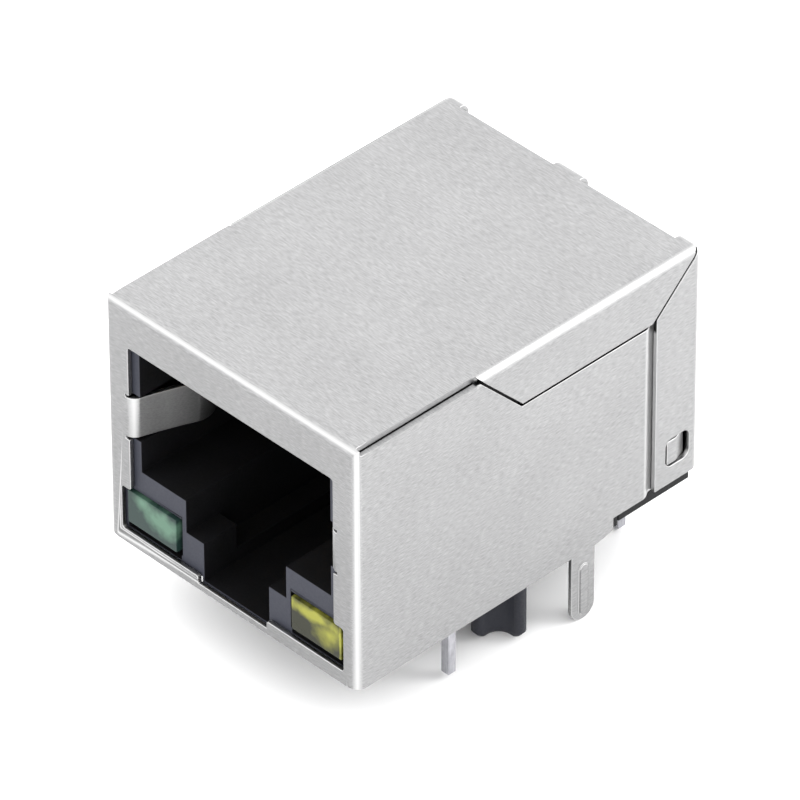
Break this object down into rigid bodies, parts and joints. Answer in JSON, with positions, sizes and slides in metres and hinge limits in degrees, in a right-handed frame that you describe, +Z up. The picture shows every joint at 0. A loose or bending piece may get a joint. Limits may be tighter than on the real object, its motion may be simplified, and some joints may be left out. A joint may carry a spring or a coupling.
{
  "type": "rj45 board jack",
  "caption": "Shielded modular network jack for a circuit board, latch side down, with built-in magnetics, a green lamp and a yellow lamp.",
  "frame": {"origin": "midway between the two locating posts, on the face that meets the board", "axes": "+Y from the plug side to the rear, +X to the right as seen from the plug side, +Z up from the board"},
  "size_m": [0.0162, 0.0214, 0.0172],
  "materials": {
    "shield_sheet": "fine brushed, nickel plated",
    "black_plastic": "moulded, slight sheen",
    "insert_plastic": "moulded",
    "board_laminate": "solder resist",
    "capacitor_ceramic": "fired ceramic with metal end caps",
    "resistor_ceramic": "coated ceramic with metal end caps",
    "green_lamp": "clear tinted epoxy",
    "yellow_lamp": "clear tinted epoxy",
    "gilt_wire": "gold plated",
    "tinned_wire": "tin plated",
    "ferrite": "sintered, tumbled edges",
    "copper_wire": "enamelled copper"
  },
  "bodies": {
    "root": {"shield": "shield_sheet", "housing": "black_plastic", "pin_carrier": "black_plastic", "contact_insert": "insert_plastic", "filter_board": "board_laminate", "high_voltage_capacitor": "capacitor_ceramic", "green_lamp": "green_lamp", "yellow_lamp": "yellow_lamp", "resistor_1": "resistor_ceramic", "resistor_2": "resistor_ceramic", "resistor_3": "resistor_ceramic", "resistor_4": "resistor_ceramic", "contact_1": "gilt_wire", "contact_2": "gilt_wire", "contact_3": "gilt_wire", "contact_4": "gilt_wire", "contact_5": "gilt_wire", "contact_6": "gilt_wire", "contact_7": "gilt_wire", "contact_8": "gilt_wire", "signal_pin_1": "tinned_wire", "signal_pin_2": "tinned_wire", "signal_pin_3": "tinned_wire", "signal_pin_4": "tinned_wire", "signal_pin_5": "tinned_wire", "signal_pin_6": "tinned_wire", "signal_pin_7": "tinned_wire", "signal_pin_8": "tinned_wire", "coil_core_1": "ferrite", "coil_core_2": "ferrite", "coil_core_3": "ferrite", "coil_core_4": "ferrite", "coil_winding_1": "copper_wire", "coil_winding_2": "copper_wire", "coil_winding_3": "copper_wire", "coil_winding_4": "copper_wire", "green_lamp_lead_1": "tinned_wire", "green_lamp_lead_2": "tinned_wire", "yellow_lamp_lead_1": "tinned_wire", "yellow_lamp_lead_2": "tinned_wire"}
  },
  "joints": []
}
